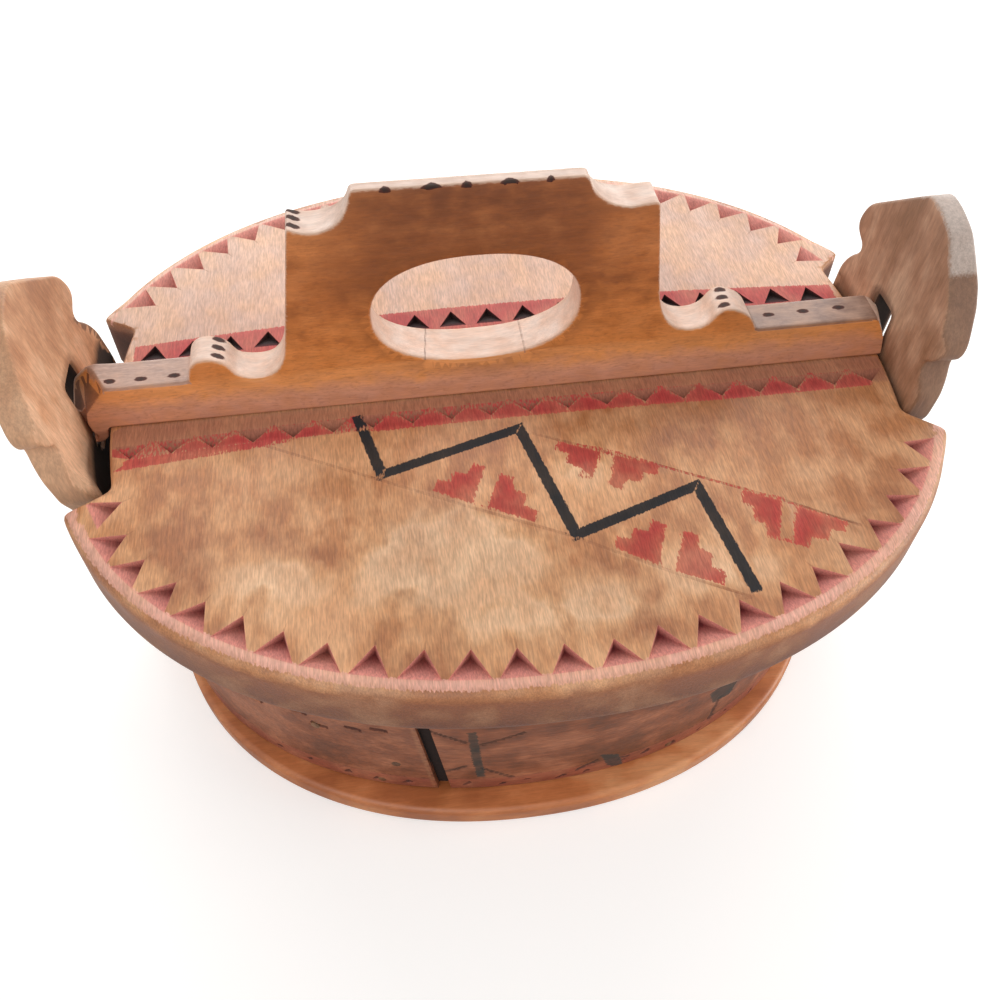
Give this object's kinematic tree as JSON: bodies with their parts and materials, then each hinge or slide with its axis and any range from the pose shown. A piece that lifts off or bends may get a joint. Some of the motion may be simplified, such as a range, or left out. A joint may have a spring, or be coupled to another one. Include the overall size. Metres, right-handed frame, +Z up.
{
  "type": "tine box",
  "caption": "Oval bent-wood box with an overhanging base board, a chip-carved lid with a pierced carved handle, and springy upright ears that lock the handle's ends.",
  "frame": {"origin": "middle of the base board's underside", "axes": "+X along the handle from ear to ear, +Y from the lapped front to the back, +Z up"},
  "size_m": [0.2459, 0.2004, 0.163],
  "materials": {
    "base_wood": "worn oiled board with a rounded edge",
    "wall_wood": "thin bent strip, oiled, with carved and stained marks",
    "lid_wood": "oiled, chip carved and stained red and dark green",
    "handle_wood": "carved, oiled and polished by handling",
    "ear_wood": "knife cut and lightly oiled",
    "peg_wood": "whittled pegs and wedges"
  },
  "bodies": {
    "box": {"base_board": "base_wood", "side_wall": "wall_wood", "lap_peg_1": "peg_wood", "lap_peg_2": "peg_wood", "lap_peg_3": "peg_wood", "lap_peg_4": "peg_wood", "foot_peg_1": "peg_wood", "foot_peg_2": "peg_wood", "foot_peg_3": "peg_wood", "foot_peg_4": "peg_wood", "foot_peg_5": "peg_wood", "foot_peg_6": "peg_wood", "foot_peg_7": "peg_wood", "foot_peg_8": "peg_wood"},
    "lid": {"lid_board": "lid_wood", "handle_rail": "handle_wood", "rail_dowel_1": "peg_wood", "rail_dowel_2": "peg_wood", "rail_dowel_3": "peg_wood", "rail_dowel_4": "peg_wood"},
    "ear_l": {"ear_left": "ear_wood", "ear_wedge_left": "peg_wood"},
    "ear_r": {"ear_right": "ear_wood", "ear_wedge_right": "peg_wood"}
  },
  "joints": [
    {"name": "lid_lift", "type": "slide", "parent": "box", "child": "lid", "axis": [0, 0, 1], "range_m": [0, 0.066]},
    {"name": "ear_left_spring", "type": "hinge", "parent": "box", "child": "ear_l", "pos_m": [-0.114, 0, 0.0083], "axis": [0, -1, 0], "range_deg": [0, 9.5], "stiffness_Nm_per_rad": 1},
    {"name": "ear_right_spring", "type": "hinge", "parent": "box", "child": "ear_r", "pos_m": [0.114, 0, 0.0083], "axis": [0, 1, 0], "range_deg": [0, 9.5], "stiffness_Nm_per_rad": 1}
  ],
  "couplings": [
    {"joint": "ear_left_spring", "follows": "lid_lift", "rad_per_m": 2.4},
    {"joint": "ear_right_spring", "follows": "lid_lift", "rad_per_m": 2.4}
  ]
}
